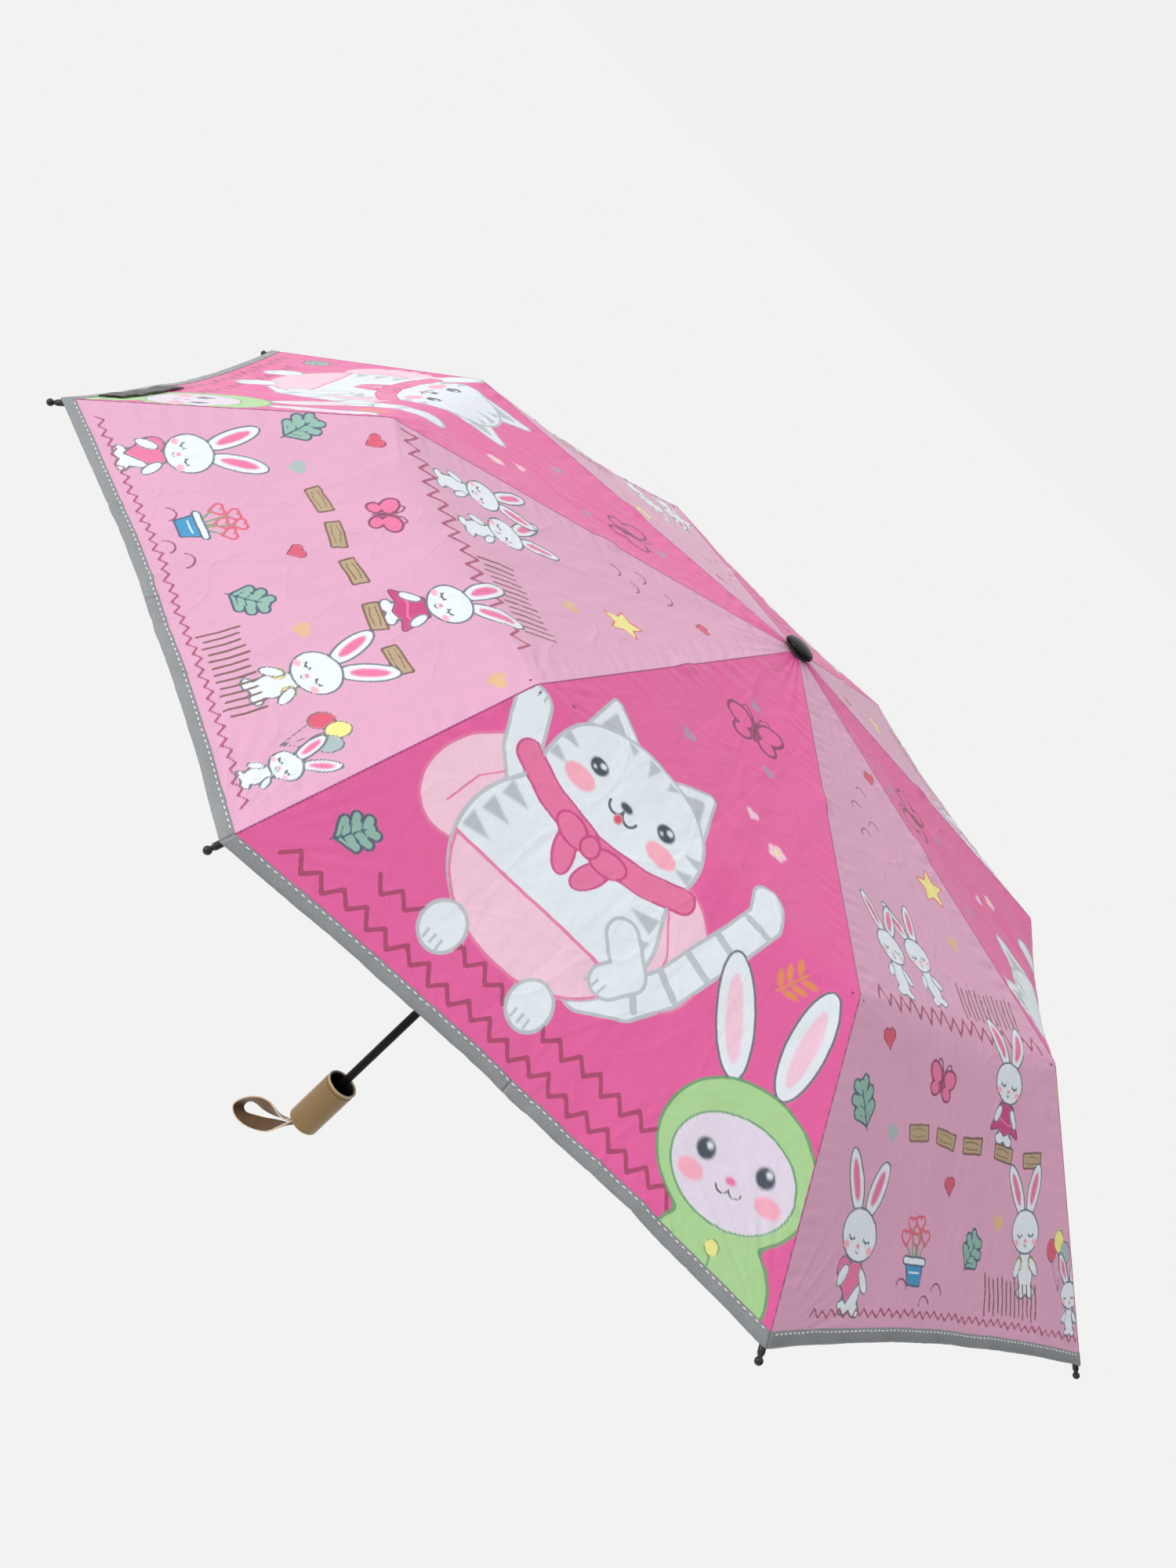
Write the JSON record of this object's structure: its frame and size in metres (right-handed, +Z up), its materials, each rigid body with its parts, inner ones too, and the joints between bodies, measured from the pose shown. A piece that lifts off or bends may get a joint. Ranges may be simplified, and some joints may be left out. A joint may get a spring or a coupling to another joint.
{
  "type": "children's umbrella",
  "caption": "Open children's folding umbrella: printed pink panels on folding ribs, telescoping shaft, sliding runner, short handle and wrist loop.",
  "frame": {"origin": "centre of the handle's flat base", "axes": "+Z up the shaft to the top cap, +X along rib 1; the ribs are numbered counter-clockwise seen from above"},
  "size_m": [0.9826, 0.9826, 0.6282],
  "materials": {
    "hot_pink_cloth": "tight polyester plain weave, printed, satin",
    "light_pink_cloth": "tight polyester plain weave, printed, satin",
    "black_cloth": "black coated inside of the cloth and the tie band",
    "reflective_binding": "grey reflective tape, lockstitched",
    "tan_handle": "tan moulded plastic, satin",
    "black_plastic": "moulded, satin",
    "cap_plastic": "black, glossy",
    "grey_plastic": "moulded, satin",
    "black_tube": "black enamelled steel tube",
    "steel": "plated steel strip",
    "aluminium": "drawn aluminium channel",
    "black_fibreglass": "drawn glass-fibre rod with a moulded tip",
    "strap_suede": "brown suede with cream edges, stitched"
  },
  "bodies": {
    "handle": {"handle_grip": "tan_handle", "handle_cup_liner": "black_plastic", "wrist_strap": "strap_suede", "shaft_inner_tube": "black_tube"},
    "middle_tube": {"shaft_middle_tube": "black_tube"},
    "canopy_head": {"shaft_outer_tube": "black_tube", "shaft_outer_ferrule": "black_plastic", "crown": "black_plastic", "crown_ring_wire": "steel", "top_cap": "cap_plastic", "canopy_gore_1": "light_pink_cloth", "canopy_gore_2": "hot_pink_cloth", "canopy_gore_3": "light_pink_cloth", "canopy_gore_4": "hot_pink_cloth", "canopy_gore_5": "light_pink_cloth", "canopy_gore_6": "hot_pink_cloth", "canopy_gore_7": "light_pink_cloth", "canopy_gore_8": "hot_pink_cloth", "closure_band": "black_cloth"},
    "runner": {"runner": "black_plastic"},
    "runner_button": {"runner_button": "grey_plastic"},
    "top_rib_1": {"top_rib_1": "steel"},
    "stretcher_1": {"stretcher_1": "steel"},
    "middle_rib_1": {"middle_rib_1": "aluminium"},
    "outer_rib_1": {"outer_rib_1": "black_fibreglass"},
    "top_rib_2": {"top_rib_2": "steel"},
    "stretcher_2": {"stretcher_2": "steel"},
    "middle_rib_2": {"middle_rib_2": "aluminium"},
    "outer_rib_2": {"outer_rib_2": "black_fibreglass"},
    "top_rib_3": {"top_rib_3": "steel"},
    "stretcher_3": {"stretcher_3": "steel"},
    "middle_rib_3": {"middle_rib_3": "aluminium"},
    "outer_rib_3": {"outer_rib_3": "black_fibreglass"},
    "top_rib_4": {"top_rib_4": "steel"},
    "stretcher_4": {"stretcher_4": "steel"},
    "middle_rib_4": {"middle_rib_4": "aluminium"},
    "outer_rib_4": {"outer_rib_4": "black_fibreglass"},
    "top_rib_5": {"top_rib_5": "steel"},
    "stretcher_5": {"stretcher_5": "steel"},
    "middle_rib_5": {"middle_rib_5": "aluminium"},
    "outer_rib_5": {"outer_rib_5": "black_fibreglass"},
    "top_rib_6": {"top_rib_6": "steel"},
    "stretcher_6": {"stretcher_6": "steel"},
    "middle_rib_6": {"middle_rib_6": "aluminium"},
    "outer_rib_6": {"outer_rib_6": "black_fibreglass"},
    "top_rib_7": {"top_rib_7": "steel"},
    "stretcher_7": {"stretcher_7": "steel"},
    "middle_rib_7": {"middle_rib_7": "aluminium"},
    "outer_rib_7": {"outer_rib_7": "black_fibreglass"},
    "top_rib_8": {"top_rib_8": "steel"},
    "stretcher_8": {"stretcher_8": "steel"},
    "middle_rib_8": {"middle_rib_8": "aluminium"},
    "outer_rib_8": {"outer_rib_8": "black_fibreglass"}
  },
  "joints": [
    {"name": "middle_tube_slide", "type": "slide", "parent": "handle", "child": "middle_tube", "axis": [0, 0, -1], "range_m": [0, 0.152]},
    {"name": "outer_tube_slide", "type": "slide", "parent": "middle_tube", "child": "canopy_head", "axis": [0, 0, -1], "range_m": [0, 0.152]},
    {"name": "runner_slide", "type": "slide", "parent": "canopy_head", "child": "runner", "axis": [0, 0, -1], "range_m": [0, 0.08559], "deforming": ["canopy_gore_1", "canopy_gore_2", "canopy_gore_3", "canopy_gore_4", "canopy_gore_5", "canopy_gore_6", "canopy_gore_7", "canopy_gore_8", "closure_band"]},
    {"name": "runner_button_press", "type": "slide", "parent": "runner", "child": "runner_button", "axis": [-0.9239, -0.3827, 0], "range_m": [0, 0.0015], "stiffness_N_per_m": 900},
    {"name": "top_rib_fold_1", "type": "hinge", "parent": "canopy_head", "child": "top_rib_1", "pos_m": [0.008, 0, 0.557], "axis": [0, 1, 0], "range_deg": [-0.2, 80.24]},
    {"name": "stretcher_fold_1", "type": "hinge", "parent": "top_rib_1", "child": "stretcher_1", "pos_m": [0.07319, 0, 0.5467], "axis": [0, -1, 0], "range_deg": [-0.2, 128.78]},
    {"name": "middle_rib_fold_1", "type": "hinge", "parent": "top_rib_1", "child": "middle_rib_1", "pos_m": [0.16173, 0, 0.53697], "axis": [0, -1, 0], "range_deg": [-0.2, 177.2]},
    {"name": "outer_rib_fold_1", "type": "hinge", "parent": "middle_rib_1", "child": "outer_rib_1", "pos_m": [0.32398, 0, 0.5097], "axis": [0, 1, 0], "range_deg": [-0.2, 151.06]},
    {"name": "top_rib_fold_2", "type": "hinge", "parent": "canopy_head", "child": "top_rib_2", "pos_m": [0.00566, 0.00566, 0.557], "axis": [-0.7071, 0.7071, 0], "range_deg": [-0.2, 80.24]},
    {"name": "stretcher_fold_2", "type": "hinge", "parent": "top_rib_2", "child": "stretcher_2", "pos_m": [0.05176, 0.05176, 0.5467], "axis": [0.7071, -0.7071, 0], "range_deg": [-0.2, 128.78]},
    {"name": "middle_rib_fold_2", "type": "hinge", "parent": "top_rib_2", "child": "middle_rib_2", "pos_m": [0.11436, 0.11436, 0.53697], "axis": [0.7071, -0.7071, 0], "range_deg": [-0.2, 177.2]},
    {"name": "outer_rib_fold_2", "type": "hinge", "parent": "middle_rib_2", "child": "outer_rib_2", "pos_m": [0.22909, 0.22909, 0.5097], "axis": [-0.7071, 0.7071, 0], "range_deg": [-0.2, 151.06]},
    {"name": "top_rib_fold_3", "type": "hinge", "parent": "canopy_head", "child": "top_rib_3", "pos_m": [0, 0.008, 0.557], "axis": [-1, 0, 0], "range_deg": [-0.2, 80.24]},
    {"name": "stretcher_fold_3", "type": "hinge", "parent": "top_rib_3", "child": "stretcher_3", "pos_m": [0, 0.07319, 0.5467], "axis": [1, 0, 0], "range_deg": [-0.2, 128.78]},
    {"name": "middle_rib_fold_3", "type": "hinge", "parent": "top_rib_3", "child": "middle_rib_3", "pos_m": [0, 0.16173, 0.53697], "axis": [1, 0, 0], "range_deg": [-0.2, 177.2]},
    {"name": "outer_rib_fold_3", "type": "hinge", "parent": "middle_rib_3", "child": "outer_rib_3", "pos_m": [0, 0.32398, 0.5097], "axis": [-1, 0, 0], "range_deg": [-0.2, 151.06]},
    {"name": "top_rib_fold_4", "type": "hinge", "parent": "canopy_head", "child": "top_rib_4", "pos_m": [-0.00566, 0.00566, 0.557], "axis": [-0.7071, -0.7071, 0], "range_deg": [-0.2, 80.24]},
    {"name": "stretcher_fold_4", "type": "hinge", "parent": "top_rib_4", "child": "stretcher_4", "pos_m": [-0.05176, 0.05176, 0.5467], "axis": [0.7071, 0.7071, 0], "range_deg": [-0.2, 128.78]},
    {"name": "middle_rib_fold_4", "type": "hinge", "parent": "top_rib_4", "child": "middle_rib_4", "pos_m": [-0.11436, 0.11436, 0.53697], "axis": [0.7071, 0.7071, 0], "range_deg": [-0.2, 177.2]},
    {"name": "outer_rib_fold_4", "type": "hinge", "parent": "middle_rib_4", "child": "outer_rib_4", "pos_m": [-0.22909, 0.22909, 0.5097], "axis": [-0.7071, -0.7071, 0], "range_deg": [-0.2, 151.06]},
    {"name": "top_rib_fold_5", "type": "hinge", "parent": "canopy_head", "child": "top_rib_5", "pos_m": [-0.008, 0, 0.557], "axis": [0, -1, 0], "range_deg": [-0.2, 80.24]},
    {"name": "stretcher_fold_5", "type": "hinge", "parent": "top_rib_5", "child": "stretcher_5", "pos_m": [-0.07319, 0, 0.5467], "axis": [0, 1, 0], "range_deg": [-0.2, 128.78]},
    {"name": "middle_rib_fold_5", "type": "hinge", "parent": "top_rib_5", "child": "middle_rib_5", "pos_m": [-0.16173, 0, 0.53697], "axis": [0, 1, 0], "range_deg": [-0.2, 177.2]},
    {"name": "outer_rib_fold_5", "type": "hinge", "parent": "middle_rib_5", "child": "outer_rib_5", "pos_m": [-0.32398, 0, 0.5097], "axis": [0, -1, 0], "range_deg": [-0.2, 151.06]},
    {"name": "top_rib_fold_6", "type": "hinge", "parent": "canopy_head", "child": "top_rib_6", "pos_m": [-0.00566, -0.00566, 0.557], "axis": [0.7071, -0.7071, 0], "range_deg": [-0.2, 80.24]},
    {"name": "stretcher_fold_6", "type": "hinge", "parent": "top_rib_6", "child": "stretcher_6", "pos_m": [-0.05176, -0.05176, 0.5467], "axis": [-0.7071, 0.7071, 0], "range_deg": [-0.2, 128.78]},
    {"name": "middle_rib_fold_6", "type": "hinge", "parent": "top_rib_6", "child": "middle_rib_6", "pos_m": [-0.11436, -0.11436, 0.53697], "axis": [-0.7071, 0.7071, 0], "range_deg": [-0.2, 177.2]},
    {"name": "outer_rib_fold_6", "type": "hinge", "parent": "middle_rib_6", "child": "outer_rib_6", "pos_m": [-0.22909, -0.22909, 0.5097], "axis": [0.7071, -0.7071, 0], "range_deg": [-0.2, 151.06]},
    {"name": "top_rib_fold_7", "type": "hinge", "parent": "canopy_head", "child": "top_rib_7", "pos_m": [0, -0.008, 0.557], "axis": [1, 0, 0], "range_deg": [-0.2, 80.24]},
    {"name": "stretcher_fold_7", "type": "hinge", "parent": "top_rib_7", "child": "stretcher_7", "pos_m": [0, -0.07319, 0.5467], "axis": [-1, 0, 0], "range_deg": [-0.2, 128.78]},
    {"name": "middle_rib_fold_7", "type": "hinge", "parent": "top_rib_7", "child": "middle_rib_7", "pos_m": [0, -0.16173, 0.53697], "axis": [-1, 0, 0], "range_deg": [-0.2, 177.2]},
    {"name": "outer_rib_fold_7", "type": "hinge", "parent": "middle_rib_7", "child": "outer_rib_7", "pos_m": [0, -0.32398, 0.5097], "axis": [1, 0, 0], "range_deg": [-0.2, 151.06]},
    {"name": "top_rib_fold_8", "type": "hinge", "parent": "canopy_head", "child": "top_rib_8", "pos_m": [0.00566, -0.00566, 0.557], "axis": [0.7071, 0.7071, 0], "range_deg": [-0.2, 80.24]},
    {"name": "stretcher_fold_8", "type": "hinge", "parent": "top_rib_8", "child": "stretcher_8", "pos_m": [0.05176, -0.05176, 0.5467], "axis": [-0.7071, -0.7071, 0], "range_deg": [-0.2, 128.78]},
    {"name": "middle_rib_fold_8", "type": "hinge", "parent": "top_rib_8", "child": "middle_rib_8", "pos_m": [0.11436, -0.11436, 0.53697], "axis": [-0.7071, -0.7071, 0], "range_deg": [-0.2, 177.2]},
    {"name": "outer_rib_fold_8", "type": "hinge", "parent": "middle_rib_8", "child": "outer_rib_8", "pos_m": [0.22909, -0.22909, 0.5097], "axis": [0.7071, 0.7071, 0], "range_deg": [-0.2, 151.06]}
  ],
  "couplings": [
    {"joint": "top_rib_fold_1", "follows": "runner_slide", "rad_per_m": 16.321},
    {"joint": "stretcher_fold_1", "follows": "runner_slide", "rad_per_m": 26.219},
    {"joint": "middle_rib_fold_1", "follows": "runner_slide", "rad_per_m": 36.091},
    {"joint": "outer_rib_fold_1", "follows": "runner_slide", "rad_per_m": 30.761},
    {"joint": "top_rib_fold_2", "follows": "runner_slide", "rad_per_m": 16.321},
    {"joint": "stretcher_fold_2", "follows": "runner_slide", "rad_per_m": 26.219},
    {"joint": "middle_rib_fold_2", "follows": "runner_slide", "rad_per_m": 36.091},
    {"joint": "outer_rib_fold_2", "follows": "runner_slide", "rad_per_m": 30.761},
    {"joint": "top_rib_fold_3", "follows": "runner_slide", "rad_per_m": 16.321},
    {"joint": "stretcher_fold_3", "follows": "runner_slide", "rad_per_m": 26.219},
    {"joint": "middle_rib_fold_3", "follows": "runner_slide", "rad_per_m": 36.091},
    {"joint": "outer_rib_fold_3", "follows": "runner_slide", "rad_per_m": 30.761},
    {"joint": "top_rib_fold_4", "follows": "runner_slide", "rad_per_m": 16.321},
    {"joint": "stretcher_fold_4", "follows": "runner_slide", "rad_per_m": 26.219},
    {"joint": "middle_rib_fold_4", "follows": "runner_slide", "rad_per_m": 36.091},
    {"joint": "outer_rib_fold_4", "follows": "runner_slide", "rad_per_m": 30.761},
    {"joint": "top_rib_fold_5", "follows": "runner_slide", "rad_per_m": 16.321},
    {"joint": "stretcher_fold_5", "follows": "runner_slide", "rad_per_m": 26.219},
    {"joint": "middle_rib_fold_5", "follows": "runner_slide", "rad_per_m": 36.091},
    {"joint": "outer_rib_fold_5", "follows": "runner_slide", "rad_per_m": 30.761},
    {"joint": "top_rib_fold_6", "follows": "runner_slide", "rad_per_m": 16.321},
    {"joint": "stretcher_fold_6", "follows": "runner_slide", "rad_per_m": 26.219},
    {"joint": "middle_rib_fold_6", "follows": "runner_slide", "rad_per_m": 36.091},
    {"joint": "outer_rib_fold_6", "follows": "runner_slide", "rad_per_m": 30.761},
    {"joint": "top_rib_fold_7", "follows": "runner_slide", "rad_per_m": 16.321},
    {"joint": "stretcher_fold_7", "follows": "runner_slide", "rad_per_m": 26.219},
    {"joint": "middle_rib_fold_7", "follows": "runner_slide", "rad_per_m": 36.091},
    {"joint": "outer_rib_fold_7", "follows": "runner_slide", "rad_per_m": 30.761},
    {"joint": "top_rib_fold_8", "follows": "runner_slide", "rad_per_m": 16.321},
    {"joint": "stretcher_fold_8", "follows": "runner_slide", "rad_per_m": 26.219},
    {"joint": "middle_rib_fold_8", "follows": "runner_slide", "rad_per_m": 36.091},
    {"joint": "outer_rib_fold_8", "follows": "runner_slide", "rad_per_m": 30.761}
  ]
}
